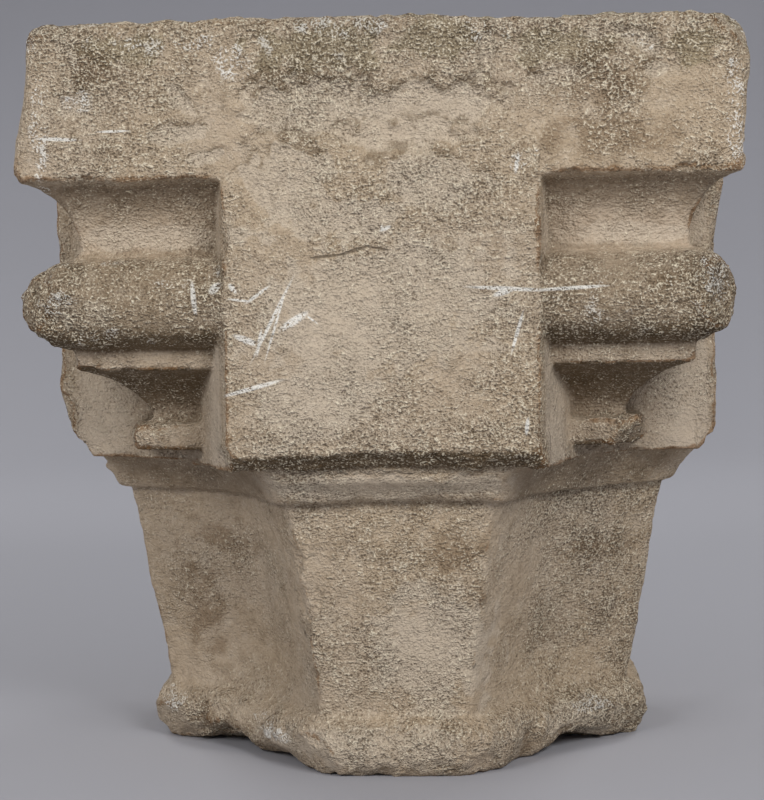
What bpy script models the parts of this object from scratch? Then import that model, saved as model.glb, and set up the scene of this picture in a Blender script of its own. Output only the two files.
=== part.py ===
"""A moulded capital cut from one block of limestone, as Blender solids in metres.

The stone stands on its lower bed at z = 0, centred on the z axis, with its front face towards -Y.
From the top down it has a square abacus with a plain boss in the middle of each side, and mouldings that
run between the bosses round the four corners: a hollow, a roll, a fillet, a second hollow and a foot.
Below come a splayed band, a tapering bell with four flat-faced arms, and a roll necking.
Lists of four go round the stone from the front, or the front left corner, anticlockwise from above.
"""

import math
from collections import namedtuple

import bmesh
import bpy
from mathutils import Matrix, Vector, noise

# Abacus
ABACUS_SIDE = 0.3250
ABACUS_HEIGHT = 0.0700
ABACUS_BATTERS = (0.0015, 0.0010, 0.0020, 0.0050)  # how far its faces lean in towards the top
ABACUS_TOP_WEAR = 0.0055
ABACUS_LOWER_WEAR = 0.0018
ABACUS_CORNER_WEAR = 0.0075

# Bosses
BOSS_WIDTH = 0.1420
BOSS_SPLAY_TOP = 10.0  # degrees that a boss's sides open towards its root
BOSS_SPLAY_FOOT = 19.5
BOSS_SET_BACKS = (0.0004, 0.0055, 0.0012, 0.0016)
BOSS_ARRIS_WEAR = 0.0012

# Corner mouldings: heights, and how far each lies inside the abacus face
UPPER_HOLLOW_HEIGHT = 0.0340
UPPER_HOLLOW_DEPTH = 0.0234
UPPER_HOLLOW_FULLNESS = 1.85  # 2 is an ellipse's arc, and 1 a straight slope
ROLL_RADIUS = 0.0212
ROLL_INSET = 0.0018
ROLL_CORNER_WEAR = 0.0130
ROLL_STOP = 0.9  # share of the roll's height over which it stops at a boss that is set back from it
ROLL_SWEEP = 84.0  # degrees that the roll turns each way from level, before it runs into its neighbours
FILLET_HEIGHT = 0.0098
FILLET_INSET = 0.0205
FILLET_WEAR = 0.0012
LOWER_HOLLOW_HEIGHT = 0.0262
LOWER_HOLLOW_DEPTH = 0.0515
LOWER_HOLLOW_FULLNESS = 1.5
FOOT_HEIGHT = 0.0130
FOOT_INSET = 0.0415
FOOT_WEAR = 0.0020
RECESS_HEIGHT = 0.0070
RECESS_DEPTH = 0.0670
HOLLOW_QUIRK = 0.0020  # height of the little curve that turns out at a hollow's foot
MITRE_WEAR = 0.0025  # rounding of the mitred corners other than the abacus's and the roll's

# Band between the mouldings and the bell: a fascia with a splay above it
BAND_HEIGHT = 0.0175
BAND_FASCIA_HEIGHT = 0.0068
BAND_LIP = 0.0062  # how far the fascia's lower edge stands out from the bell
BAND_BATTER = 0.0026
BAND_SPLAY = 0.0085
BAND_WEAR = 0.0012
BAND_CORNER_WEAR = 0.0060
BAND_CREASE_WEAR = 0.0220

# Bell: four arms, each a flat face with canted sides that meet the next arm's in a re-entrant crease
BELL_HEIGHT = 0.1000
BELL_TOP_INSET = 0.0300  # how far the arms' faces lie inside the abacus faces at the top
BELL_TOP_FACE = 0.0950
BELL_FOOT_REACH = 0.1150
BELL_FOOT_FACE = 0.0700
BELL_ARRIS_WEAR = 0.0016
CREASE_TOP = 0.0725  # distance of a crease from both centre planes
CREASE_FOOT = 0.0575
CREASE_TOP_WEAR = 0.0040
CREASE_FOOT_WEAR = 0.0180
RUN_OUT_HEIGHT = 0.0240  # the creases run out over this height above the necking
RUN_OUT = 0.0085  # and move out by this much

# The front arm stands out further than the others, and the crease to its right was cut less deep
FRONT_ARM_TOP_EXTRA = 0.0020
FRONT_ARM_FOOT_EXTRA = 0.0065
FRONT_ARM_SHIFT = 0.0015
FRONT_RIGHT_CREASE_TOP = (0.0762, 0.0850)
FRONT_RIGHT_CREASE_FOOT = (0.0675, 0.0605)

# Necking roll on the lower bed
NECKING_HEIGHT = 0.0300
NECKING_LIP = 0.0100  # how far the roll stands out from the bell's foot
NECKING_UNDERCUT = 50.0  # degrees that the roll turns under before it meets the bed
NECKING_ARRIS_WEAR = 0.0130
NECKING_CREASE_WEAR = 0.0220

# Losses, round the stone. A boss has lost its lower edge, up its face and back along its underside.
# A corner's broken face lies this far inside it.
BOSS_LOSS_RISES = (0.0072, 0.0110, 0.0150, 0.0350)
BOSS_LOSS_RUNS = (0.0070, 0.0088, 0.0070, 0.0165)
TOP_CORNER_LOSSES = (0.0055, 0.0100, 0.0050, 0.0080)
ROLL_CORNER_LOSSES = (0.0100, 0.0135, 0.0060, 0.0120)
FOOT_CORNER_LOSSES = (0.0040, 0.0120, 0.0060, 0.0100)
NECKING_LEFT_LOSSES = (0.0125, 0.0090, 0.0050, 0.0030)
NECKING_RIGHT_LOSSES = (0.0065, 0.0035, 0.0080, 0.0105)

# Fineness of the faceting
ROLL_STEPS = 12
HOLLOW_STEPS = 8
NECKING_STEPS = 9
RUN_OUT_STEPS = 6
CORNER_STEPS = 4
FRACTURE_STEPS = 6
FRACTURE_ROUGHNESS = 0.0012
FRACTURE_GRAIN = 0.0120
EDGE_LOSS_SPREAD = 1.3  # a lost edge's broken face runs on past it by this factor
CORNER_LOSS_SPREAD = 5.0  # a corner's broken face is this many times as wide as the loss is deep

# Levels, stacked from the lower bed, and the reaches that hang on others
HALF = ABACUS_SIDE / 2
BELL_TOP_REACH = HALF - BELL_TOP_INSET
FRONT_ARM_TOP_REACH = BELL_TOP_REACH + FRONT_ARM_TOP_EXTRA
FRONT_ARM_FOOT_REACH = BELL_FOOT_REACH + FRONT_ARM_FOOT_EXTRA
BELL_TOP = NECKING_HEIGHT + BELL_HEIGHT
UNDERSIDE = BELL_TOP + BAND_HEIGHT
FOOT_BASE = UNDERSIDE + RECESS_HEIGHT
FOOT_TOP = FOOT_BASE + FOOT_HEIGHT
FILLET_BASE = FOOT_TOP + LOWER_HOLLOW_HEIGHT
ROLL_BASE = FILLET_BASE + FILLET_HEIGHT
ROLL_TOP = ROLL_BASE + 2 * ROLL_RADIUS
ABACUS_BASE = ROLL_TOP + UPPER_HOLLOW_HEIGHT
TOP = ABACUS_BASE + ABACUS_HEIGHT
OVERLAP = 0.0030  # how far joined forms run into each other before they are united

SIDES = 4
Corner = namedtuple("Corner", "x y z wear")


def turned(x, y, turns):
    """The point turned about the z axis by a number of right angles."""
    for _ in range(turns % SIDES):
        x, y = -y, x
    return x, y


def offset(corners, distance):
    """The closed outline moved outwards by a distance, with its corners mitred."""
    moved = []
    for i, here in enumerate(corners):
        before, after = corners[i - 1], corners[(i + 1) % len(corners)]
        into = Vector((here.x - before.x, here.y - before.y)).normalized()
        out = Vector((after.x - here.x, after.y - here.y)).normalized()
        normals = Vector((into.y + out.y, -into.x - out.x))
        mitre = normals / (1 + into.dot(out)) * distance
        moved.append(here._replace(x=here.x + mitre.x, y=here.y + mitre.y))
    return moved


def rounded(corners):
    """Points round the closed outline, with every corner worn to a short curve."""
    points = []
    for i, corner in enumerate(corners):
        here = Vector(corner[:3])
        before = Vector(corners[i - 1][:3]) - here
        after = Vector(corners[(i + 1) % len(corners)][:3]) - here
        reach = min(corner.wear, 0.45 * before.length, 0.45 * after.length)
        start, end = here + before.normalized() * reach, here + after.normalized() * reach
        for k in range(CORNER_STEPS + 1):
            t = k / CORNER_STEPS
            points.append(start * (1 - t) ** 2 + here * 2 * t * (1 - t) + end * t**2)
    return points


def loft(name, outlines):
    """A closed solid through outlines with equal numbers of corners, from the lowest up."""
    bm = bmesh.new()
    rings = [[bm.verts.new(point) for point in rounded(outline)] for outline in outlines]
    for lower, upper in zip(rings, rings[1:]):
        for i in range(len(lower)):
            bm.faces.new((lower[i - 1], lower[i], upper[i], upper[i - 1]))
    bm.faces.new(list(reversed(rings[0])))
    bm.faces.new(rings[-1])
    mesh = bpy.data.meshes.new(name)
    bm.to_mesh(mesh)
    bm.free()
    solid = bpy.data.objects.new(name, mesh)
    bpy.context.scene.collection.objects.link(solid)
    return solid


def arc(centre, radius, start, end, steps):
    """Points of a circle's arc, as (half width, height), between two angles in degrees."""
    angles = [math.radians(start + (end - start) * i / steps) for i in range(steps + 1)]
    return [(centre[0] + radius * math.cos(a), centre[1] + radius * math.sin(a)) for a in angles]


def hollow(deep, outer, base, top, fullness):
    """Points up a hollow from its quirk: upright at its foot, and turning out to level at its top."""
    points = [(deep + HOLLOW_QUIRK, base), (deep + HOLLOW_QUIRK / 4, base + HOLLOW_QUIRK / 2)]
    foot = base + HOLLOW_QUIRK
    for i in range(HOLLOW_STEPS + 1):
        angle = math.radians(90 * i / HOLLOW_STEPS)
        out = 1 - math.cos(angle) ** (2 / fullness)
        up = math.sin(angle) ** (2 / fullness)
        points.append((deep + (outer - deep) * out, foot + (top - foot) * up))
    return points


def moulding_profile():
    """(half width, height, corner wear) up a corner of the moulded block, from the recess to the abacus."""
    recess = HALF - RECESS_DEPTH
    foot = HALF - FOOT_INSET
    lower_deep = HALF - LOWER_HOLLOW_DEPTH
    fillet = HALF - FILLET_INSET
    upper_deep = HALF - UPPER_HOLLOW_DEPTH
    roll_centre = (HALF - ROLL_INSET - ROLL_RADIUS, ROLL_BASE + ROLL_RADIUS)

    outline = [(recess, UNDERSIDE - OVERLAP), (recess, FOOT_BASE), (foot - FOOT_WEAR, FOOT_BASE)]
    outline += [(foot, FOOT_BASE + FOOT_WEAR), (foot, FOOT_TOP - FOOT_WEAR), (foot - FOOT_WEAR, FOOT_TOP)]
    outline += hollow(lower_deep, fillet - FILLET_WEAR, FOOT_TOP, FILLET_BASE, LOWER_HOLLOW_FULLNESS)
    outline += [(fillet, FILLET_BASE + FILLET_WEAR), (fillet, ROLL_BASE)]
    profile = [(w, z, MITRE_WEAR) for w, z in outline]
    roll = arc(roll_centre, ROLL_RADIUS, -ROLL_SWEEP, ROLL_SWEEP, ROLL_STEPS)
    profile += [(w, z, ROLL_CORNER_WEAR) for w, z in roll]
    upper = hollow(upper_deep, HALF - ABACUS_LOWER_WEAR, ROLL_TOP, ABACUS_BASE, UPPER_HOLLOW_FULLNESS)
    profile += [(w, z, MITRE_WEAR) for w, z in upper]
    profile.append((HALF, ABACUS_BASE + ABACUS_LOWER_WEAR, ABACUS_CORNER_WEAR))
    return profile


def square(distances, z, wear):
    """A square outline whose four sides lie at these distances from the axis, from the front one round."""
    corners = []
    for turns in range(SIDES):
        before, side = distances[turns - 1], distances[turns]
        corners.append(Corner(*turned(-before, -side, turns), z, wear))
    return corners


def moulded_block():
    """The abacus and the mouldings under it, square in plan and mitred at the corners."""
    outlines = [square([half] * SIDES, z, wear) for half, z, wear in moulding_profile()]
    for inwards, down in arc((ABACUS_TOP_WEAR, ABACUS_TOP_WEAR), ABACUS_TOP_WEAR, 180, 270, CORNER_STEPS):
        distances = [HALF - batter - inwards for batter in ABACUS_BATTERS]
        outlines.append(square(distances, TOP - down, ABACUS_CORNER_WEAR))
    return loft("moulded_block", outlines)


def roll_stops():
    """Blocks that cut the roll away where it would cross a boss that is set back further than it."""
    half = BOSS_WIDTH / 2 - BOSS_ARRIS_WEAR
    middle = ROLL_BASE + ROLL_RADIUS
    cutters = []
    for turns, set_back in enumerate(BOSS_SET_BACKS):
        if set_back > ROLL_INSET:
            inner = set_back - HALF + OVERLAP
            ends = ((-half, inner), (-half, -HALF), (half, -HALF), (half, inner))
            plan = [Corner(*turned(x, y, turns), 0, BOSS_ARRIS_WEAR) for x, y in ends]
            levels = (middle - ROLL_STOP * ROLL_RADIUS, middle + ROLL_STOP * ROLL_RADIUS)
            cutters.append(loft(f"roll_stop_{turns}", [[c._replace(z=z) for c in plan] for z in levels]))
    return cutters


def boss_outline(z, splay, set_backs):
    """The plan of the four bosses at a height, down to the creases where their splayed sides meet."""
    opening = math.tan(math.radians(splay))
    crease = HALF - (HALF - BOSS_WIDTH / 2) / (1 + opening)
    corners = []
    for turns, set_back in enumerate(set_backs):
        half = BOSS_WIDTH / 2
        for x, y, wear in ((-half, set_back - HALF, BOSS_ARRIS_WEAR), (half, set_back - HALF, BOSS_ARRIS_WEAR),
                           (crease, -crease, BOSS_ARRIS_WEAR)):
            corners.append(Corner(*turned(x, y, turns), z, wear))
    return corners


def bosses():
    """The plain bosses that cross the mouldings, nearly level with the abacus faces at the top."""
    flush = [min(BOSS_SET_BACKS)] * SIDES
    share = (ROLL_TOP - UNDERSIDE) / (ABACUS_BASE - UNDERSIDE)
    middle_splay = BOSS_SPLAY_FOOT + (BOSS_SPLAY_TOP - BOSS_SPLAY_FOOT) * share
    return loft("bosses", [
        boss_outline(UNDERSIDE, BOSS_SPLAY_FOOT, BOSS_SET_BACKS),
        boss_outline(ROLL_TOP, middle_splay, BOSS_SET_BACKS),
        boss_outline(ABACUS_BASE, BOSS_SPLAY_TOP, flush),
        boss_outline(ABACUS_BASE + ABACUS_LOWER_WEAR, BOSS_SPLAY_TOP, flush),
    ])


def between(foot, top, share):
    """The value at a share of the way from the foot to the top."""
    return foot + (top - foot) * share


def bell_outline(z, arris_wear, crease_wear):
    """The bell's plan at a height."""
    share = (z - NECKING_HEIGHT) / BELL_HEIGHT
    face = between(BELL_FOOT_FACE, BELL_TOP_FACE, share) / 2
    reach = between(BELL_FOOT_REACH, BELL_TOP_REACH, share)
    front_reach = between(FRONT_ARM_FOOT_REACH, FRONT_ARM_TOP_REACH, share)
    crease = between(CREASE_FOOT, CREASE_TOP, share)
    ends = zip(FRONT_RIGHT_CREASE_FOOT, FRONT_RIGHT_CREASE_TOP)
    front_right = [between(foot, top, share) for foot, top in ends]
    run_out = RUN_OUT * max(0.0, 1 - (z - NECKING_HEIGHT) / RUN_OUT_HEIGHT) ** 2
    corners = []
    for turns in range(SIDES):
        out = reach if turns else front_reach
        shift = 0.0 if turns else FRONT_ARM_SHIFT
        across, along = (crease, crease) if turns else front_right
        places = ((shift - face, -out, arris_wear), (shift + face, -out, arris_wear),
                  (across + run_out, -along - run_out, crease_wear))
        corners += [Corner(*turned(x, y, turns), z, wear) for x, y, wear in places]
    return corners


def crease_wear(z):
    """How far a crease of the bell is rounded at a height: more and more towards its foot."""
    share = (z - NECKING_HEIGHT) / BELL_HEIGHT
    return between(CREASE_FOOT_WEAR, CREASE_TOP_WEAR, min(1.0, share))


def bell():
    """The tapering bell, whose creases run out above the necking."""
    heights = [NECKING_HEIGHT + RUN_OUT_HEIGHT * i / RUN_OUT_STEPS for i in range(RUN_OUT_STEPS + 1)]
    heights = [NECKING_HEIGHT - OVERLAP] + heights + [BELL_TOP + OVERLAP]
    outlines = []
    for z in heights:
        plan = bell_outline(max(z, NECKING_HEIGHT), BELL_ARRIS_WEAR, crease_wear(z))
        outlines.append([corner._replace(z=z) for corner in plan])
    return loft("bell", outlines)


def band():
    """The band under the mouldings: an upright fascia, and a splay that spreads out above it."""
    plan = bell_outline(BELL_TOP, BAND_CORNER_WEAR, BAND_CREASE_WEAR)
    fascia_top = BELL_TOP + BAND_FASCIA_HEIGHT
    slope = BAND_SPLAY / (UNDERSIDE - fascia_top)
    profile = [
        (BAND_LIP - BAND_WEAR, BELL_TOP),
        (BAND_LIP, BELL_TOP + BAND_WEAR),
        (BAND_LIP + BAND_BATTER, fascia_top),
        (BAND_LIP + BAND_BATTER + BAND_SPLAY + slope * OVERLAP, UNDERSIDE + OVERLAP),
    ]
    return loft("band", [[c._replace(z=z) for c in offset(plan, out)] for out, z in profile])


def necking():
    """The roll that follows the bell's plan on the lower bed."""
    plan = bell_outline(NECKING_HEIGHT, NECKING_ARRIS_WEAR, NECKING_CREASE_WEAR)
    radius = NECKING_HEIGHT / (1 + math.sin(math.radians(NECKING_UNDERCUT)))
    profile = arc((NECKING_LIP - radius, NECKING_HEIGHT - radius), radius, -NECKING_UNDERCUT, 90, NECKING_STEPS)
    return loft("necking", [[c._replace(z=max(z, 0.0)) for c in offset(plan, out)] for out, z in profile])


def fracture(name, middle, outward, along, across, turns):
    """A slab with one rough face, which takes off all that lies outward of it."""
    bm = bmesh.new()
    bmesh.ops.create_grid(bm, x_segments=FRACTURE_STEPS, y_segments=FRACTURE_STEPS, size=0.5)
    bmesh.ops.scale(bm, vec=(along, across, 1), verts=bm.verts)
    x, y = turned(middle[0], middle[1], turns)
    place = Vector((x, y, middle[2]))
    for vert in bm.verts:
        vert.co.z = FRACTURE_ROUGHNESS * noise.noise((vert.co + place) / FRACTURE_GRAIN)
    grown = bmesh.ops.extrude_face_region(bm, geom=bm.faces[:])
    top = [part for part in grown["geom"] if isinstance(part, bmesh.types.BMVert)]
    bmesh.ops.translate(bm, verts=top, vec=(0, 0, max(along, across)))
    bmesh.ops.recalc_face_normals(bm, faces=bm.faces)
    normal = Vector((*turned(outward[0], outward[1], turns), outward[2])).normalized()
    bm.transform(Matrix.Translation(place) @ normal.to_track_quat("Z", "Y").to_matrix().to_4x4())
    mesh = bpy.data.meshes.new(name)
    bm.to_mesh(mesh)
    bm.free()
    cutter = bpy.data.objects.new(name, mesh)
    bpy.context.scene.collection.objects.link(cutter)
    cutter.hide_render = True
    cutter.display_type = "WIRE"
    return cutter


def boss_losses():
    """The lower edges that the bosses have lost."""
    cutters = []
    for turns, (rise, run) in enumerate(zip(BOSS_LOSS_RISES, BOSS_LOSS_RUNS)):
        middle = (0, BOSS_SET_BACKS[turns] + run / 2 - HALF, UNDERSIDE + rise / 2)
        along = EDGE_LOSS_SPREAD * BOSS_WIDTH
        across = EDGE_LOSS_SPREAD * math.hypot(rise, run)
        cutters.append(fracture(f"boss_loss_{turns}", middle, (0, -rise, -run), along, across, turns))
    return cutters


def corner_loss(name, corner, outward, depth, turns, across=None):
    """A broken corner, whose face lies a depth inside it and is as wide as the loss needs, or a given width."""
    middle = Vector(corner) - Vector(outward).normalized() * depth
    spread = CORNER_LOSS_SPREAD * depth
    return fracture(f"{name}_{turns}", middle, outward, spread, across or spread, turns)


def corner_losses():
    """The corners that the abacus, the roll, the foot and the necking have lost."""
    foot = HALF - FOOT_INSET
    roll_middle = ROLL_BASE + ROLL_RADIUS
    cutters = []
    for turns in range(SIDES):
        depth = TOP_CORNER_LOSSES[turns]
        top_corner = (ABACUS_BATTERS[turns - 1] - HALF, ABACUS_BATTERS[turns] - HALF, TOP)
        cutters.append(corner_loss("top_loss", top_corner, (-0.35, -1, 1), depth, turns))
        depth = ROLL_CORNER_LOSSES[turns]
        roll_corner = (ROLL_INSET - HALF, ROLL_INSET - HALF, roll_middle)
        height = 2 * EDGE_LOSS_SPREAD * ROLL_RADIUS
        cutters.append(corner_loss("roll_loss", roll_corner, (-1, -1, 0.1), depth, turns, height))
        depth = FOOT_CORNER_LOSSES[turns]
        foot_corner = (-foot, -foot, FOOT_BASE)
        height = 2 * EDGE_LOSS_SPREAD * FOOT_HEIGHT
        cutters.append(corner_loss("foot_loss", foot_corner, (-1, -1, -0.8), depth, turns, height))
        reach = NECKING_LIP + (BELL_FOOT_REACH if turns else FRONT_ARM_FOOT_REACH)
        half = NECKING_LIP / 2 + BELL_FOOT_FACE / 2
        for side, depth in ((-1, NECKING_LEFT_LOSSES[turns]), (1, NECKING_RIGHT_LOSSES[turns])):
            name = "necking_left_loss" if side < 0 else "necking_right_loss"
            lobe_corner = (side * half, -reach, 0)
            cutters.append(corner_loss(name, lobe_corner, (side, -1, -0.7), depth, turns))
    return cutters


def limestone():
    """Weathered buff limestone."""
    material = bpy.data.materials.new("limestone")
    material.use_nodes = True
    shader = material.node_tree.nodes["Principled BSDF"]
    shader.inputs["Base Color"].default_value = (0.36, 0.30, 0.235, 1)
    shader.inputs["Roughness"].default_value = 0.92
    shader.inputs["Metallic"].default_value = 0.0
    return material


def combine(solid, others, operation):
    """Adds the other solids to the first, or takes them away."""
    for other in others:
        step = solid.modifiers.new(other.name, "BOOLEAN")
        step.operation = operation
        step.object = other
        other.hide_render = True
        other.display_type = "WIRE"


def main():
    for old in list(bpy.data.objects):
        bpy.data.objects.remove(old)
    capital = moulded_block()
    capital.name = "capital"
    capital.data.materials.append(limestone())
    combine(capital, roll_stops(), "DIFFERENCE")
    combine(capital, [bosses(), band(), bell(), necking()], "UNION")
    combine(capital, boss_losses() + corner_losses(), "DIFFERENCE")


main()
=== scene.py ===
# %% [markdown]
# # A worn stone capital
#
# The real object is one block of limestone, carved as the head of a small column: a square abacus, four
# plain bosses with mouldings between them, and a tapering bell on a roll necking. Centuries have rounded
# its arrises, knocked off its corners and stained it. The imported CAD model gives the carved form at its
# real size, and this lesson adds what age has done to it, first in the mesh and then in the material.

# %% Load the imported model
import itertools
import math

import bpy
import numpy as np
from mathutils import Matrix, Vector
from mathutils.kdtree import KDTree


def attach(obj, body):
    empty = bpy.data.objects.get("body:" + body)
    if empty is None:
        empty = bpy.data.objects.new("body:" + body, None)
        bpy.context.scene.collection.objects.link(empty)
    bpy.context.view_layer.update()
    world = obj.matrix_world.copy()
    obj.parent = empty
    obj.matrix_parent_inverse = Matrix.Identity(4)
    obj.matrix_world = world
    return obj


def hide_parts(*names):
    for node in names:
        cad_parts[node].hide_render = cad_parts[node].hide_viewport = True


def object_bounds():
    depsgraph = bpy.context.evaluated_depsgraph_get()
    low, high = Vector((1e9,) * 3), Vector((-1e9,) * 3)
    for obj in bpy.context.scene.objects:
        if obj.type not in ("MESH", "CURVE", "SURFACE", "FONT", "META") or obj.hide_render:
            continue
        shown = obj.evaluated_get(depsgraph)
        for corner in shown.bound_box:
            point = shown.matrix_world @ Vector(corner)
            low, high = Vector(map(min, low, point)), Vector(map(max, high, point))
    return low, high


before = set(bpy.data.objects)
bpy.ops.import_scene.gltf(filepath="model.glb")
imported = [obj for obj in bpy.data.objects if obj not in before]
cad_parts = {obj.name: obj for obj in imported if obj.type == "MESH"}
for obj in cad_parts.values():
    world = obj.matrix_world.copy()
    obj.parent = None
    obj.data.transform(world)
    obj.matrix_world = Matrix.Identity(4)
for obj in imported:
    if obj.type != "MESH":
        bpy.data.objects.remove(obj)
cad_low, cad_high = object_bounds()
HALF = cad_high.x
TOP = cad_high.z
print(f"the block is {2 * HALF:.3f} m wide and {TOP:.3f} m high")

# %% [markdown]
# ## Levels of the carving
#
# Marks of wear belong to places on the stone, so the main levels of the carving get names, in metres
# above the lower bed or below the top. The front face looks towards -Y.

# %% Name the levels
ABACUS_BASE = TOP - 0.0700
ROLL_TOP = ABACUS_BASE - 0.0340
ROLL_RADIUS = 0.0212
ROLL_MIDDLE = ROLL_TOP - ROLL_RADIUS
ROLL_BASE = ROLL_TOP - 2 * ROLL_RADIUS
UNDERSIDE = 0.1475
BELL_TOP = 0.1300
NECKING_TOP = 0.0300
BOSS_HALF = 0.0710
FRONT = -HALF
print(f"the roll's middle lies {ROLL_MIDDLE:.3f} m up")


# %% [markdown]
# ## Helpers for the mesh
#
# Blender's operators act on everything that is selected, so a helper first selects one object alone. The
# wear itself is sculpted in code: the vertices are taken out as an array of points, moved, and put back.

# %% Mesh helpers
def only(piece):
    """Selects one object and nothing else."""
    bpy.ops.object.select_all(action="DESELECT")
    piece.select_set(True)
    bpy.context.view_layer.objects.active = piece


def finish_with(piece, kind, **settings):
    """Adds a modifier with these settings to a piece and applies it."""
    only(piece)
    step = piece.modifiers.new(kind.lower(), kind)
    for setting, value in settings.items():
        setattr(step, setting, value)
    bpy.ops.object.modifier_apply(modifier=step.name)


def taken(piece, what="co"):
    """The vertices' places or normals as an array of rows."""
    rows = np.empty(3 * len(piece.data.vertices), dtype=np.float32)
    source = piece.data.vertices if what == "co" else piece.data.vertex_normals
    source.foreach_get("co" if what == "co" else "vector", rows)
    return rows.reshape(-1, 3).astype(float)


def put_back(piece, points):
    """Moves the vertices to these places."""
    piece.data.vertices.foreach_set("co", points.astype(np.float32).ravel())
    piece.data.update()


def keep(piece, name, values):
    """Stores a number for each vertex, for the material to read."""
    layer = piece.data.attributes.new(name, "FLOAT", "POINT")
    layer.data.foreach_set("value", values.astype(np.float32))


# %% [markdown]
# ## Noise that is the same every time
#
# Stone wears by chance, but a script has to give the same stone on every run. This noise gives each
# corner of a grid a direction that is worked out from the corner's own numbers, and blends between the
# corners.

# %% Noise helpers
DIRECTIONS = np.array([d for d in itertools.product((-1, 0, 1), repeat=3) if sum(map(abs, d)) == 2], float)
HASH_PRIMES = (73856093, 19349663, 83492791, 6542989)
STIRRERS = (2246822519, 3266489917)
WORD = 0xFFFFFFFF
SEED_SHIFT = 7.31
NOISE_GAIN = 1.4
NEXT_SEED = 101


def noise(points, size, seed):
    """Smooth noise, mostly between -1 and 1, whose bumps have this size in metres."""
    places = points / size + seed * SEED_SHIFT
    cells = np.floor(places).astype(np.int64)
    inside = places - cells
    blend = inside**3 * (inside * (inside * 6 - 15) + 10)
    total = np.zeros(len(points))
    for corner in itertools.product((0, 1), repeat=3):
        numbers = (cells + corner) * HASH_PRIMES[:3]
        mixed = (numbers[:, 0] ^ numbers[:, 1] ^ numbers[:, 2] ^ seed * HASH_PRIMES[3]) & WORD
        mixed = (mixed ^ mixed >> 15) * STIRRERS[0] & WORD
        mixed = (mixed ^ mixed >> 13) * STIRRERS[1] & WORD
        slopes = DIRECTIONS[(mixed ^ mixed >> 16) % len(DIRECTIONS)]
        weight = np.where(corner, blend, 1 - blend).prod(axis=1)
        total += weight * (slopes * (inside - corner)).sum(axis=1)
    return total * NOISE_GAIN


def layered(points, size, seed, layers=3, fall=0.5):
    """Noise with finer and fainter noise on top."""
    return sum(fall**i * noise(points, size / 2**i, seed + NEXT_SEED * i) for i in range(layers))


def ramp(values, start, end):
    """0 up to the start, 1 from the end on, and an even curve between them."""
    share = np.clip((values - start) / (end - start), 0, 1)
    return share * share * (3 - 2 * share)


def band(values, rise, fall):
    """1 between a rise and a fall, and 0 outside them. Each is given by where it starts and ends."""
    return ramp(values, *rise) * (1 - ramp(values, *fall))


# %% [markdown]
# ## The block as a fine, even mesh
#
# The CAD solid has long thin triangles that can't hold wear. A copy of it is merged and then rebuilt by a
# voxel remesh, which covers it in small even squares. The CAD node itself is left alone.

# %% Rebuild the block finely
VOXEL = 0.0013
SAME_PLACE = 0.00001

stone = bpy.data.objects.new("capital_stone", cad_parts["capital"].data.copy())
bpy.context.collection.objects.link(stone)
only(stone)
bpy.ops.object.mode_set(mode="EDIT")
bpy.ops.mesh.select_all(action="SELECT")
bpy.ops.mesh.remove_doubles(threshold=SAME_PLACE)
bpy.ops.object.mode_set(mode="OBJECT")
finish_with(stone, "REMESH", mode="VOXEL", voxel_size=VOXEL)
print(f"the remeshed block has {len(stone.data.vertices)} vertices")


# %% [markdown]
# ## Lumps and hollows of this one block
#
# The carving isn't quite regular: a roll end and a side boss bulge, the top edge and the band's lower
# edge rise in the middle, and the lower bed curls up beside the front lobe. Each push moves the points
# around a place, most in its middle and not at all from its reach on. A row gives the middle, the reach
# and the shift in millimetres.

# %% Push the block into its own shape
PUSHES = (
    ((-154, -152, 224), (26, 30, 24), (-6.0, 0.0, 0.0)),
    ((-152, -78, 166), (26, 60, 30), (-5.5, 0.0, -1.0)),
    ((-162, -158, 288), (40, 60, 30), (-3.5, 0.0, 0.0)),
    ((162, -158, 326), (40, 70, 34), (3.2, 0.0, 0.0)),
    ((0, -150, 131), (95, 30, 12), (0.0, -0.5, 3.6)),
    ((0, -160, 149), (95, 16, 12), (0.0, 0.0, 2.6)),
    ((0, -150, 141), (70, 20, 9), (0.0, -3.0, 0.0)),
    ((-30, -160, 352), (150, 60, 20), (0.0, 0.0, 1.8)),
    ((-88, -62, 0), (34, 34, 14), (4.0, 4.0, 5.5)),
    ((-58, -96, 0), (24, 30, 12), (2.0, 4.0, 4.0)),
    ((88, -68, 0), (38, 34, 14), (-3.0, 5.0, 6.0)),
    ((62, -98, 6), (14, 16, 22), (-2.0, 5.0, 1.0)),
    ((-98, -50, 12), (7, 12, 16), (2.5, 3.5, 0.0)),
    ((-84, -62, 12), (6, 12, 14), (2.0, 3.0, 0.0)),
    ((-136, -140, 158), (20, 30, 10), (0.0, -2.5, 0.5)),
)


def push(points, middle, reach, shift):
    """Moves the points around a place, less and less towards its reach."""
    off = np.linalg.norm((1000 * points - middle) / reach, axis=1)
    return points + 0.001 * (1 - ramp(off, 0, 1))[:, None] * shift


points = taken(stone)
for middle, reach, shift in PUSHES:
    points = push(points, middle, reach, np.array(shift))
put_back(stone, points)
print(f"{len(PUSHES)} pushes shape the block")


# %% [markdown]
# ## Where the stone stands out and where it lies back
#
# Wear starts at the arrises. They are found by smoothing a copy of the points: where the stone stands
# proud of that soft copy there is an arris, and where it lies behind it there is a quirk or a crease.

# %% Find the arrises
ARRIS_REACH = 0.0045

edges = np.empty(2 * len(stone.data.edges), dtype=np.int32)
stone.data.edges.foreach_get("vertices", edges)
edges = edges.reshape(-1, 2)


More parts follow.
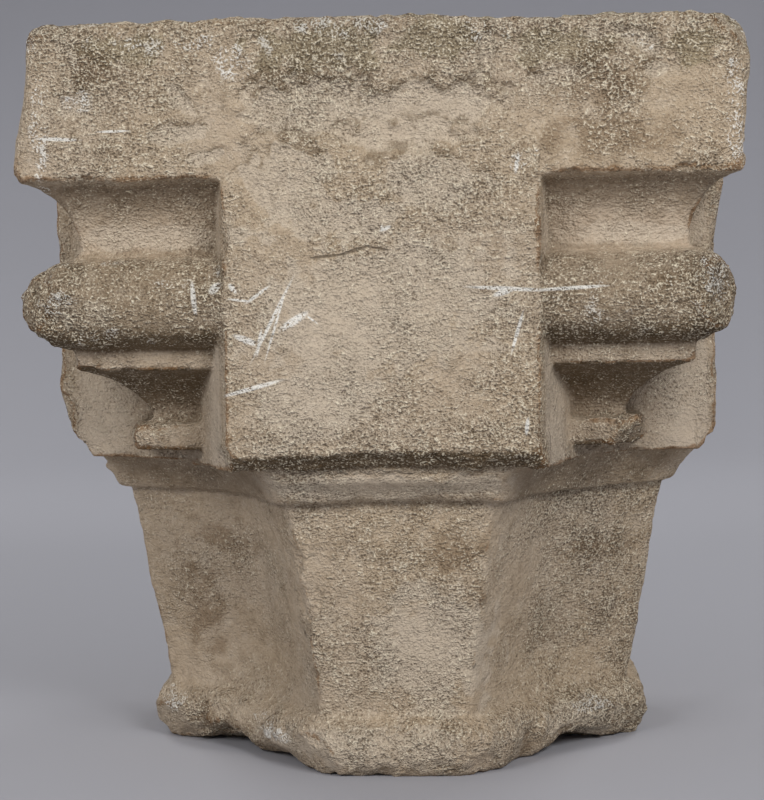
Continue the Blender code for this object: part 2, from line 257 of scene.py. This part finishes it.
def relaxed(points, reach):
    """The points, smoothed over about this distance by moving each to the middle of its neighbours."""
    ends, others = np.concatenate((edges, edges[:, ::-1])).T
    count = np.bincount(ends, minlength=len(points))
    for _ in range(math.ceil(2 * (reach / VOXEL) ** 2)):
        sums = [np.bincount(ends, weights=points[others, k], minlength=len(points)) for k in range(3)]
        points = np.stack(sums, axis=1) / count[:, None]
    return points


points = taken(stone)
outward = taken(stone, "normals")
soft = relaxed(points, ARRIS_REACH)
proud = ((points - soft) * outward).sum(axis=1)
facing = relaxed(outward, ARRIS_REACH)
facing /= np.linalg.norm(facing, axis=1)[:, None]
sharpest, usual = 1000 * proud.max(), 1000 * np.percentile(proud, 99)
print(f"the sharpest arris stands {sharpest:.1f} mm proud of the soft copy, a usual one {usual:.1f} mm")

# %% [markdown]
# ## Which surfaces are sheltered, plain or torn
#
# The hollows and the bosses' returns were sheltered, so they are still smooth. The faces that look
# straight out took the weather. The edges that were knocked about are torn, which left a crumbly surface.
# Each mask gives the share of a quality for every point, by its height, its distance in from the abacus
# face, and its distance aside from the middle of its side.

# %% Divide the surface by what happened to it
ROLL_END = 0.137
FOOT_END = 0.102
FOOT_TOP = 0.170
SMOOTHER_IN_SHELTER = 0.25
LEAST_ROUGH, MOST_ROUGH = 0.2, 1.7

x, y, z = points.T
aside = np.minimum(np.abs(x), np.abs(y))
depth_in = HALF - np.maximum(np.abs(x), np.abs(y))
moulded = band(z, (UNDERSIDE - 0.001, UNDERSIDE + 0.001), (ABACUS_BASE - 0.003, ABACUS_BASE))
off_roll = 1 - band(z, (ROLL_BASE - 0.001, ROLL_BASE + 0.004), (ROLL_TOP - 0.004, ROLL_TOP + 0.001))
behind_boss_face = ramp(depth_in, 0.0075, 0.0105)
sheltered = moulded * behind_boss_face * np.maximum(off_roll, ramp(depth_in, 0.022, 0.026))

level = np.hypot(outward[:, 0], outward[:, 1]).clip(1e-6)
straight = np.maximum(np.abs(outward[:, 0]), np.abs(outward[:, 1])) / level
plain = np.where(z > UNDERSIDE, 1.0, ramp(straight, 0.945, 0.975))

on_top_edge = ramp(z, TOP - 0.012, TOP - 0.003) * (1 - ramp(depth_in, 0.010, 0.022))
on_boss_foot = (1 - ramp(aside, BOSS_HALF - 0.002, BOSS_HALF + 0.006)) * (1 - ramp(depth_in, 0.012, 0.018))
on_boss_foot *= band(z, (UNDERSIDE - 0.002, UNDERSIDE), (UNDERSIDE + 0.007, UNDERSIDE + 0.018))
on_roll_end = ramp(aside, ROLL_END - 0.005, ROLL_END + 0.005)
on_roll_end *= band(z, (ROLL_BASE - 0.002, ROLL_BASE + 0.002), (ROLL_TOP - 0.004, ROLL_TOP))
on_foot_end = ramp(aside, FOOT_END - 0.006, FOOT_END + 0.006)
on_foot_end *= band(z, (UNDERSIDE, UNDERSIDE + 0.004), (FOOT_TOP - 0.002, FOOT_TOP + 0.002))
on_necking = 1 - ramp(z, NECKING_TOP - 0.008, NECKING_TOP + 0.001)
on_necking *= ramp(layered(points, 0.028, 41), -0.35, 0.15)
on_boss_low = band(z, (UNDERSIDE, UNDERSIDE + 0.002), (FOOT_TOP - 0.012, FOOT_TOP + 0.008))
on_boss_low *= aside < BOSS_HALF + 0.004
broken = (0.8 * on_top_edge, on_boss_foot, on_roll_end, on_foot_end, on_necking, 0.6 * on_boss_low)
torn = np.max(broken, axis=0)

rough = (1 - SMOOTHER_IN_SHELTER * sheltered) * (0.70 + 0.30 * plain)
rough *= 0.9 + 0.4 * layered(points, 0.040, 43)
right_of_bell = (z < BELL_TOP) * (1 - plain) * ramp(x, 0.060, 0.080) * ramp(-y, 0.0, 0.02)
rough *= 1 + 0.9 * right_of_bell
on_roll = moulded * (1 - off_roll) * (aside > BOSS_HALF)
near_top = ramp(z, TOP - 0.045, TOP - 0.02)
rough = np.clip(rough + 0.35 * torn + 0.25 * on_roll + 0.35 * near_top, LEAST_ROUGH, MOST_ROUGH)

# Grime: dirt darkens the roll, and painted shade darkens faces that look down, most under the roll, the lower
# moulding and the band's sides.
facing_down = ramp(-outward[:, 2], 0.15, 0.8) * moulded
# The bosses' returns that face sideways get painted light: they are made paler and kept out of the grime.
lit_returns = moulded * sheltered * (1 - ramp(aside, BOSS_HALF + 0.008, BOSS_HALF + 0.016)) * (straight > 0.7)
lit_returns *= np.abs(np.where(np.abs(x) > np.abs(y), outward[:, 1], outward[:, 0])) > 0.6
low_moulding = moulded * sheltered * (1 - ramp(z, ROLL_BASE - 0.002, ROLL_BASE + 0.004))
band_side = band(z, (BELL_TOP - 0.002, BELL_TOP), (UNDERSIDE, UNDERSIDE + 0.002)) * ramp(aside, 0.055, 0.065)
under_roll = facing_down * (z < ROLL_MIDDLE)
dirt_and_shade = (0.42 * on_roll, 0.60 * facing_down, 0.98 * under_roll, 0.22 * low_moulding, 0.5 * band_side)
grime_and_shade = np.max(dirt_and_shade, axis=0) * (1 - lit_returns)
print(f"{100 * sheltered.mean():.0f} % of the surface is sheltered and {100 * torn.mean():.0f} % is torn")

# %% [markdown]
# ## Weathering
#
# The arrises are worn down by a share of how far they stand proud, more in some places than in others.
# Broad, middling and fine unevenness follows all over, less in shelter, and torn places get rough crumbs
# on top. Each row of the tables gives the size of the bumps, their height and a seed.

# %% Weather the surface
ARRIS_WEAR = 0.35
UNEVENNESS = ((0.045, 0.00070, 3), (0.014, 0.00045, 5), (0.0055, 0.00030, 8))
CRUMBS = ((0.011, 0.0009, 13), (0.0050, 0.0007, 17))
EVENER_IN_SHELTER = 0.65

patchy = ramp(layered(points, 0.020, 21), -0.3, 0.9)
points = points - outward * (np.clip(proud, 0, None) * ARRIS_WEAR * patchy)[:, None]
exposed = 1 - EVENER_IN_SHELTER * sheltered
for size, height, seed in UNEVENNESS:
    points += outward * (height * exposed * layered(points, size, seed, layers=2))[:, None]
for size, height, seed in CRUMBS:
    points += outward * (height * torn * layered(points, size, seed, layers=2))[:, None]

# %% [markdown]
# ## Marks that can be seen in the photograph
#
# The front has flakes, a groove, crusts, moss and stains at known places. Each row gives the middle of a
# mark (along and up) with its half width and half height in millimetres, and its lean in radians. A
# flake's row ends with how deep the stone is lost there. The other three sides can't be seen, so they get
# such marks from noise.

# %% Place the marks of the front
FLAKES = (
    (-28, 312, 35, 14, 0.0, 2.2), (22, 310, 36, 13, 0.08, 2.6), (12, 299, 32, 8, 0.0, 3.2),
    (48.5, 335, 4, 14, 0.0, 3.0), (42, 320, 4, 11, -0.6, 2.6), (-135, 315, 10, 6, 0.0, 1.4),
    (-88, 315, 11, 4.5, -0.9, 1.6), (-90, 300.5, 15, 5, 0.1, 1.4), (-78, 290, 8, 4, 0.2, 1.0),
    (83, 322.5, 14, 5, 0.1, 1.5), (116, 338, 13, 5, -0.55, 2.2), (123, 325, 6, 5, 0.3, 1.4),
    (-40, 278, 20, 22, 0.2, 0.8), (22, 278, 26, 14, -0.1, 0.9), (-20, 262, 30, 9, 0.1, 0.6),
    (-2, 139, 64, 7, 0.0, 0.1), (-128, 222, 9, 6, 0.2, 0.3), (-142, 219, 7, 10, 0.0, 0.8),
    (20, 60, 30, 34, 0.3, 0.1), (-6, 14, 46, 12, 0.0, 0.1), (92, 14, 20, 11, -0.2, 0.1),
    (-100, 254, 48, 6, 0.0, 0.1), (112, 253, 40, 5, 0.0, 0.1), (0, 222, 60, 34, 0.2, 0.05),
    (-30, 180, 34, 20, 0.3, 0.05),
)
CRUSTS = (
    (-134, 316, 9, 5, 0.0), (-64, 332, 9, 7, -0.4), (-82, 341, 11, 3.5, 0.0), (-112, 341, 8, 2.5, 0.1),
    (-15, 347, 24, 4, 0.0), (46, 345, 6, 7, 0.0), (116, 338, 9, 3, -0.55), (62, 285, 5, 4, 0.9),
    (70, 288, 3, 2.5, 0.0), (-152, 300, 4, 30, 0.0), (158, 304, 4, 26, 0.0), (2, 257, 2, 1.5, 0.0),
    (-114, 20, 7, 7, 0.2), (149, 232, 7, 12, 0.3), (-146, 226, 9, 7, 0.0), (-62, 18, 9, 5, -0.4),
    (95, 20, 12, 4, 0.0),
)
MOSS = (
    (-111, 338, 24, 7, 0.0), (-25, 337, 36, 11, 0.0), (28, 340, 18, 9, 0.1), (80, 336, 26, 8, 0.0),
    (140, 335, 14, 9, 0.0),
)
STAINS = (
    (97, 99, 24, 12, 0.0), (42, 93, 3, 19, 0.1), (-96, 70, 14, 34, 0.1), (128, 232, 14, 5, 0.1),
    (-86, 105, 22, 12, 0.0), (100, 320, 30, 20, 0.1), (-128, 330, 14, 12, 0.0), (30, 105, 22, 14, 0.1),
    (104, 296, 42, 13, 0.0), (-96, 14, 9, 13, 0.2), (-84, 9, 16, 9, 0.2), (-66, 4, 16, 5, -0.3),
    (63, 8, 6, 10, 0.0), (-150, 216, 6, 16, 0.0),
)
CORE, STAIN_CORE = 0.75, 0.1
SEEN_DEPTH = 0.125


def patch(mark, core=CORE):
    """How far each point lies inside a ragged patch of the front, full in its core, and at its upper edge."""
    along, up, wide, high, lean = mark[:5]
    right, rise = 1000 * x - along, 1000 * z - up
    u = (right * math.cos(lean) + rise * math.sin(lean)) / wide
    v = (rise * math.cos(lean) - right * math.sin(lean)) / high
    reach = np.hypot(u, v) + 0.40 * ragged
    inside = (1 - ramp(reach, core, max(1.05, 1.35 - core))) * on_front
    upper_edge = band(reach, (0.78, 0.95), (1.0, 1.2)) * ramp(v, 0.1, 0.6) * on_front
    return inside, upper_edge


def in_any(marks, *others, core=CORE):
    """How far each point lies inside any of these marks or any other mask."""
    return np.max([*others, *(patch(mark, core)[0] for mark in marks)], axis=0)


ragged = layered(points, 0.009, 200)
spread_out = layered(points, 0.030, 51)
on_front = ramp(-outward[:, 1], 0.1, 0.5) * (1 - ramp(y, FRONT + SEEN_DEPTH, FRONT + SEEN_DEPTH + 0.010))
unseen = np.maximum(ramp(outward[:, 1], -0.5, 0.0), ramp(y, FRONT + SEEN_DEPTH, FRONT + SEEN_DEPTH + 0.020))
on_abacus = ramp(z, ABACUS_BASE - 0.004, ABACUS_BASE + 0.004)
high_up = ramp(z, TOP - 0.032, TOP - 0.012)
# The lost mask pales flaked stone, and adds painted light on the bosses' returns.
lost_and_lit = np.maximum(0.8 * on_abacus * unseen * ramp(spread_out, 0.32, 0.55), 0.6 * lit_returns)
depth_lost = 0.0013 * on_abacus * unseen * ramp(spread_out, 0.32, 0.45)
# The rim mask is a painted shadow along each flake's upper edge.
rim_shadow = np.zeros(len(points))
for mark in FLAKES:
    inside, upper_edge = patch(mark)
    depth = mark[5]
    lost_and_lit = np.maximum(lost_and_lit, inside)
    rim_shadow = np.maximum(rim_shadow, upper_edge * min(depth, 1.0))
    depth_lost = np.maximum(depth_lost, 0.001 * depth * inside)

speckles = ramp(layered(points, 0.012, 57), 0.35, 0.65)
speckled_abacus = speckles * on_abacus * (0.25 + 0.75 * high_up) * np.maximum(unseen, 0.5 * high_up)
crust = in_any(CRUSTS, speckled_abacus, 0.5 * speckles * on_roll)
moss = in_any(MOSS, high_up * unseen * ramp(spread_out, -0.5, 0.1))
blotches = ramp(layered(points, 0.060, 67, layers=4, fall=0.7), 0.2, 0.9)
stain = in_any(STAINS, 0.6 * unseen * blotches, core=STAIN_CORE)
points -= outward * depth_lost[:, None]
print(f"{100 * crust.mean():.0f} % of the surface has a white crust")

# %% [markdown]
# ## Chips
#
# A blow on an arris strikes off a flake and leaves a shallow bowl, like the inside of a shell. Each chip
# picks a point on an arris, faces about the way the arris faces, and cuts what stands above its bowl down
# to it. Most chips are small, and each is several times as wide as it is deep.

# %% Knock chips off the arrises
CHIPS = 420
LEAST_CHIP, MOST_CHIP = 0.0005, 0.0022
SHALLOW, STEEP = 10, 5
CHIP_SEED = 7

chance = np.random.default_rng(CHIP_SEED)
fresh = np.zeros(len(points))
index = KDTree(len(points))
for i, point in enumerate(points):
    index.insert(point, i)
index.balance()


def knock(at, towards, width, depth, seed):
    """Strikes a shell-shaped flake off the stone at a point, this wide and this deep."""
    near = np.array([i for _, i, _ in index.find_range(at, 0.8 * width + depth)], dtype=int)
    if not len(near):
        return
    towards = np.array(towards) / np.linalg.norm(towards)
    gap = points[near] - at
    height = gap @ towards
    spread = (gap**2).sum(axis=1) - height**2
    bowl = depth * (spread / (width / 2) ** 2 - 1 + 0.25 * noise(points[near], width / 5, seed))
    cut = np.clip(height - bowl, 0, 1.5 * depth)
    points[near] -= cut[:, None] * towards
    fresh[near] = np.maximum(fresh[near], ramp(cut, 0.0001, 0.0005))


sharp = np.flatnonzero(proud > 0.4 * proud.max())
for i in range(CHIPS):
    spot = chance.choice(sharp)
    depth = LEAST_CHIP + (MOST_CHIP - LEAST_CHIP) * chance.random() ** 4
    width = depth * chance.uniform(STEEP, SHALLOW)
    towards = facing[spot] + 0.35 * chance.normal(size=3)
    knock(points[spot], towards, width, depth, i)
print(f"{CHIPS} chips are knocked off")
put_back(stone, points)

# %% Store the masks
masks = {
    "arris": ramp(proud, 0.0006, 0.0016),
    # The quirk mask is painted shade in quirks and creases.
    "quirk_shade": ramp(-proud, 0.0006, 0.0018),
    "sheltered": sheltered,
    "rough": rough,
    "grime_and_shade": grime_and_shade,
    "torn": np.maximum(torn, 0.7 * fresh),
    "lost_and_lit": np.clip(lost_and_lit, 0, 1),
    "rim_shadow": rim_shadow,
    "crust": crust,
    "moss": moss,
    "stain": stain,
}
for name, values in masks.items():
    keep(stone, name, values)

# %% Thin the mesh out
MOST_TRIANGLES = 190000
triangles = 2 * len(stone.data.polygons)
if triangles > MOST_TRIANGLES:
    finish_with(stone, "DECIMATE", ratio=MOST_TRIANGLES / triangles)
only(stone)
bpy.ops.object.shade_smooth()
print(f"the stone has {sum(len(f.vertices) - 2 for f in stone.data.polygons)} triangles")


# %% [markdown]
# ## Writing shader maths
#
# A node tree is easier to read as sums. This class wraps a socket, so that an expression such as
# mask * 0.5 + 0.2 adds the Math nodes itself. Any other node comes from one method.

# %% Shader helpers
def linear(red, green, blue):
    """A colour as a screen shows it, from 0 to 255, as the shader wants it."""
    shares = [c / 255 for c in (red, green, blue)]
    return tuple(c / 12.92 if c <= 0.04045 else ((c + 0.055) / 1.055) ** 2.4 for c in shares) + (1.0,)


class Value:
    """A node's output, with sums that add Math nodes."""

    def __init__(self, tree, socket):
        self.tree = tree
        self.socket = socket

    def node(self, kind, settings=(), output=0, **inputs):
        """Adds a node, sets it up, fills its sockets by name or number (as _0), and gives an output."""
        made = self.tree.nodes.new(kind)
        for setting, value in dict(settings).items():
            setattr(made, setting, value)
        for name, value in inputs.items():
            socket = made.inputs[int(name[1:])] if name[0] == "_" else made.inputs[name.replace("_", " ")]
            if isinstance(value, Value):
                self.tree.links.new(value.socket, socket)
            else:
                socket.default_value = value
        return Value(self.tree, made.outputs[output])

    def math(self, operation, *others):
        """Adds a Math node on this value and the others."""
        values = {f"_{i}": value for i, value in enumerate((self, *others))}
        return self.node("ShaderNodeMath", {"operation": operation}, **values)

    def __add__(self, other):
        return self.math("ADD", other)

    def __sub__(self, other):
        return self.math("SUBTRACT", other)

    def __mul__(self, other):
        return self.math("MULTIPLY", other)

    def __rsub__(self, other):
        return (self * -1.0) + other

    __radd__ = __add__
    __rmul__ = __mul__

    def step(self, start, end):
        """0 at the start, 1 at the end, even between."""
        settings = {"interpolation_type": "SMOOTHSTEP"}
        return self.node("ShaderNodeMapRange", settings, Value=self, From_Min=start, From_Max=end)

    def mix(self, below, above):
        """The colour below where this is 0, and the colour above where it is 1."""
        settings = {"data_type": "RGBA", "clamp_factor": True}
        return self.node("ShaderNodeMix", settings, 2, _0=self, _6=below, _7=above)


# %% The limestone's colours
BODY = linear(191, 172, 148)
WARM = linear(186, 163, 132)
PALE = linear(210, 195, 174)
CREAM = linear(232, 218, 192)
ROSE = linear(198, 179, 157)
BROWN = linear(128, 104, 76)
RUST = linear(140, 100, 58)
MOSSY = linear(132, 121, 90)
# Brown for the roll's dirt and for painted shade under things, in creases and along flake rims.
GRIME_AND_SHADE = linear(108, 90, 66)
DARK = linear(98, 79, 54)
SOOT = linear(72, 60, 46)
SPARK = linear(244, 231, 204)
CHALK = linear(242, 237, 226)

# %% Build the limestone
BUMP_DEPTH = 0.0045

limestone = bpy.data.materials.new("limestone")
limestone.use_nodes = True
tree = limestone.node_tree
shader = tree.nodes["Principled BSDF"]
shader.inputs["Roughness"].default_value = 0.92
shader.inputs["Specular IOR Level"].default_value = 0.25
start = Value(tree, None)
place = start.node("ShaderNodeTexCoord", output=3)


def cloud(size, detail=3.0, rough=0.5, where=place):
    """Noise whose patches have this size in metres."""
    return start.node("ShaderNodeTexNoise", Vector=where, Scale=1 / size, Detail=detail, Roughness=rough)


def kept(name):
    """A mask that was stored on the mesh."""
    return start.node("ShaderNodeAttribute", {"attribute_name": name}, 2)


def stretched(x, y, z):
    """The place, squeezed along each way, which stretches the noise."""
    return start.node("ShaderNodeMapping", Vector=place, Scale=(x, y, z))


broad = cloud(0.070)
mottle = cloud(0.009, detail=3.0, rough=0.6)
heavy = cloud(0.015, detail=2.0).step(0.36, 0.64)
grain = cloud(0.0010, detail=1.0, rough=0.6)
crumb = cloud(0.0024, detail=2.0, rough=0.6)
streak = cloud(0.0014, detail=1.0, where=stretched(0.40, 0.40, 1.0))
sheltered = kept("sheltered")
torn = kept("torn")
contrast = kept("rough") * (0.75 + heavy * 0.36)
stipple = ((grain - 0.5) * 0.75 + (streak - 0.5) * 0.25 + (crumb - 0.5) * 0.24) * contrast

colour = (broad.step(0.38, 0.66) * 0.40).mix(BODY, WARM)
colour = (sheltered * 0.5).mix(colour, ROSE)
colour = (mottle.step(0.50, 0.68) * 0.22).mix(colour, BROWN)
colour = ((1 - mottle.step(0.34, 0.48)) * 0.25).mix(colour, PALE)
moss = (kept("moss") + (mottle - 0.5) * 1.6).step(0.1, 0.9)
colour = (moss * 0.50).mix(colour, MOSSY)
# Paler where stone flaked off, and painted light on the bosses' returns.
lost_and_lit = (kept("lost_and_lit") + (mottle - 0.5) * 1.4).step(0.15, 0.85)
colour = (lost_and_lit * 0.55).mix(colour, PALE)
stain = (kept("stain") + (mottle - 0.5) * 1.4).step(0.1, 1.0)
colour = (stain * 0.55).mix(colour, BROWN)
# Dirt on the roll, with painted shade under the roll, in the lower moulding and on the band's sides.
colour = (kept("grime_and_shade") * (0.7 + mottle * 0.6)).mix(colour, GRIME_AND_SHADE)
colour = (torn * (1 - crumb.step(0.34, 0.50)) * 0.3).mix(colour, BROWN)
# Painted shadow along the upper edges of the flakes.
rim_shadow = (kept("rim_shadow") + (mottle - 0.5) * 1.2).step(0.3, 0.8)
colour = (rim_shadow * 0.5).mix(colour, GRIME_AND_SHADE)
arris = (kept("arris") + (mottle - 0.5) * 1.4).step(0.4, 0.9)
colour = (arris * 0.60).mix(colour, RUST)
# Painted shade darkens the quirks and creases.
quirk_shade = (kept("quirk_shade") + (mottle - 0.5) * 0.4).step(0.2, 0.9)
colour = (quirk_shade * 0.40).mix(colour, GRIME_AND_SHADE)
colour = ((0 - stipple).step(0.0, 0.16) * 0.42).mix(colour, DARK)
colour = (stipple.step(0.0, 0.15) * 0.55).mix(colour, CREAM)
colour = ((0 - stipple).step(0.09, 0.16) * 0.36).mix(colour, SOOT)
colour = (stipple.step(0.09, 0.15) * 0.75).mix(colour, SPARK)
crust = kept("crust").step(0.1, 0.7) * (grain * 0.5 + mottle * 0.5).step(0.50, 0.60)
colour = (crust * 0.85).mix(colour, CHALK)

# %% [markdown]
# ## Scratches
#
# The front carries a few pale scratches and one long crack. Each row is a line between two places on the
# face, in millimetres along and up, with half its width. Grain breaks the lines up, as it does chalky
# scratches.

# %% Draw the scratches and the crack
SCRATCHES = (
    (-85.1, 233.7, -83.8, 221.5, 1.0), (-75.5, 231.0, -74.0, 232.5, 1.7), (-67.3, 232.4, -65.8, 230.4, 1.0),
    (-67.3, 226.6, -59.3, 225.6, 0.5), (-59.3, 225.6, -51.2, 231.4, 0.7), (-41.6, 231.5, -56.6, 202.6, 0.7),
    (-43.2, 228.4, -51.4, 202.6, 0.5), (-43.5, 213.8, -34.9, 219.1, 1.6), (-33.2, 218.6, -29.2, 215.5, 0.4),
    (-64.4, 209.6, -57.8, 206.8, 1.3), (-54.2, 211.5, -55.9, 202.6, 0.7), (42.0, 230.3, 70.9, 228.5, 0.8),
    (70.9, 228.5, 97.6, 229.8, 0.7), (62.7, 217.1, 58.5, 202.9, 0.7), (-69.2, 183.7, -48.3, 189.2, 0.9),
    (64.0, 165.0, 64.6, 170.0, 0.8), (60.9, 282.0, 61.8, 288.0, 0.9), (-124.2, 302.3, -113.0, 302.5, 0.5),
    (-151.3, 299.7, -135.5, 298.9, 0.7), (1.0, 256.5, 3.8, 257.6, 0.8), (52.0, 227.0, 58.0, 229.0, 1.2),
)
CRACK = ((-31.4, 244.5, -18.0, 245.6, 0.5), (-18.0, 245.6, -6.0, 249.2, 0.6), (-6.0, 249.2, 3.0, 247.6, 0.45))

SCRATCH_REACH = 0.004
LINE_EDGE = (0.8, 1.5)


def lines(rows):
    """1 on the lines of a list, on the front face alone, where each line is a long thin ellipsoid."""
    least = None
    for from_x, from_z, to_x, to_z, half_width in rows:
        middle = (0.0005 * (from_x + to_x), FRONT + 0.0015, 0.0005 * (from_z + to_z))
        half_length = 0.0005 * math.hypot(to_x - from_x, to_z - from_z)
        lean = math.atan2(to_z - from_z, to_x - from_x)
        scale = (half_length + 0.001 * half_width, SCRATCH_REACH, 0.001 * half_width)
        near = place.node("ShaderNodeMapping", {"vector_type": "TEXTURE"}, Vector=place, Location=middle,
                          Rotation=(0, -lean, 0), Scale=scale)
        off = near.node("ShaderNodeVectorMath", {"operation": "LENGTH"}, 1, _0=near)
        least = off if least is None else least.math("MINIMUM", off)
    return 1 - least.step(*LINE_EDGE)


scratched = lines(SCRATCHES) * (grain * 0.6 + crumb * 0.4).step(0.37, 0.46)
cracked = (lines(CRACK) + (grain - 0.5) * 1.6).step(0.4, 1.0)
colour = (scratched * 0.98).mix(colour, CHALK)
colour = (cracked * 0.65).mix(colour, SOOT)
tree.links.new(colour.socket, shader.inputs["Base Color"])

relief = (grain * 0.5 + streak * 0.3) * contrast + crumb * (0.2 + torn * 0.5) + mottle * 0.7 - cracked * 0.15
bump = start.node("ShaderNodeBump", Strength=1.0, Distance=BUMP_DEPTH, Height=relief)
tree.links.new(bump.socket, shader.inputs["Normal"])
stone.data.materials.clear()
stone.data.materials.append(limestone)

# %% Camera
YAW, PITCH, TILT = 0.0454, 0.0808, 0.0182
CAMERA_PLACE = Vector((-0.00778, -1.22277, 0.26634))
FOCAL_LENGTH = 106.89
SENSOR_WIDTH = 36

turn = Matrix.Rotation(YAW, 3, "Z")
look = turn @ Matrix.Rotation(math.pi / 2 - PITCH, 3, "X") @ Matrix.Rotation(-TILT, 3, "Z")
camera = bpy.data.objects.new("camera", bpy.data.cameras.new("camera"))
bpy.context.collection.objects.link(camera)
camera.data.lens = FOCAL_LENGTH
camera.data.sensor_width = SENSOR_WIDTH
camera.matrix_world = Matrix.Translation(turn @ CAMERA_PLACE) @ look.to_4x4()
bpy.context.scene.camera = camera

# %% [markdown]
# ## A plain studio
#
# The floor is a round sheet that curves up into a wall, so no horizon shows from any side. Two soft
# lights stand in front, the stronger one to the right. Two weaker ones light the back, and the world adds
# a little from all round.

# %% Floor that curves up into a wall
FLOOR_RADIUS = 1.3
CURVE_RADIUS = 0.9
WALL_TOP = 2.4
CURVE_STEPS = 16
ROUND_STEPS = 96
BACKDROP = linear(170, 170, 176)

outline = [(0.0, 0.0), (0.4, 0.0), (0.8, 0.0)]
for i in range(CURVE_STEPS + 1):
    angle = math.pi / 2 * i / CURVE_STEPS
    outline.append((FLOOR_RADIUS + CURVE_RADIUS * math.sin(angle), CURVE_RADIUS * (1 - math.cos(angle))))
outline.append((FLOOR_RADIUS + CURVE_RADIUS, WALL_TOP))
sweep_mesh = bpy.data.meshes.new("sweep")
sweep_mesh.from_pydata([(r, 0, h) for r, h in outline], [(i, i + 1) for i in range(len(outline) - 1)], [])
sweep = bpy.data.objects.new("sweep", sweep_mesh)
bpy.context.collection.objects.link(sweep)
finish_with(sweep, "SCREW", steps=ROUND_STEPS, render_steps=ROUND_STEPS, use_merge_vertices=True)
only(sweep)
bpy.ops.object.shade_smooth()
paint = bpy.data.materials.new("backdrop")
paint.use_nodes = True
painted = paint.node_tree.nodes["Principled BSDF"].inputs
painted["Base Color"].default_value = BACKDROP
painted["Roughness"].default_value = 0.85
sweep.data.materials.append(paint)

# %% Light
LIGHT_AIM = Vector((0, 0, 0.2))
LIGHT_DISTANCE = 1.9
LIGHT_SIZE = 0.7
WORLD_STRENGTH = 0.27
LIGHTS = (
    ("key", 30, 30, 17.0),
    ("fill", -35, 26, 11.5),
    ("back_left", -140, 34, 9.0),
    ("back_right", 140, 34, 9.0),
)

world = bpy.data.worlds.new("studio")
world.use_nodes = True
shine = world.node_tree.nodes["Background"].inputs
shine["Color"].default_value = (1, 1, 1, 1)
shine["Strength"].default_value = WORLD_STRENGTH
bpy.context.scene.world = world
bpy.context.scene.view_settings.view_transform = "Standard"


def soft_light(name, azimuth, elevation, power):
    """A round soft light of this power in watts, placed by its direction from the stone in degrees."""
    light = bpy.data.objects.new(name, bpy.data.lights.new(name, "AREA"))
    light.data.shape = "DISK"
    light.data.size = LIGHT_SIZE
    light.data.energy = power
    light.visible_camera = False
    bpy.context.collection.objects.link(light)
    around, above = math.radians(azimuth), math.radians(elevation)
    way = Vector((math.sin(around) * math.cos(above), -math.cos(around) * math.cos(above), math.sin(above)))
    look_at = (-way).to_track_quat("-Z", "Y").to_matrix().to_4x4()
    light.matrix_world = Matrix.Translation(LIGHT_AIM + LIGHT_DISTANCE * way) @ look_at


for row in LIGHTS:
    soft_light(*row)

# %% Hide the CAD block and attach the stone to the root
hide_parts("capital")
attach(stone, "root")
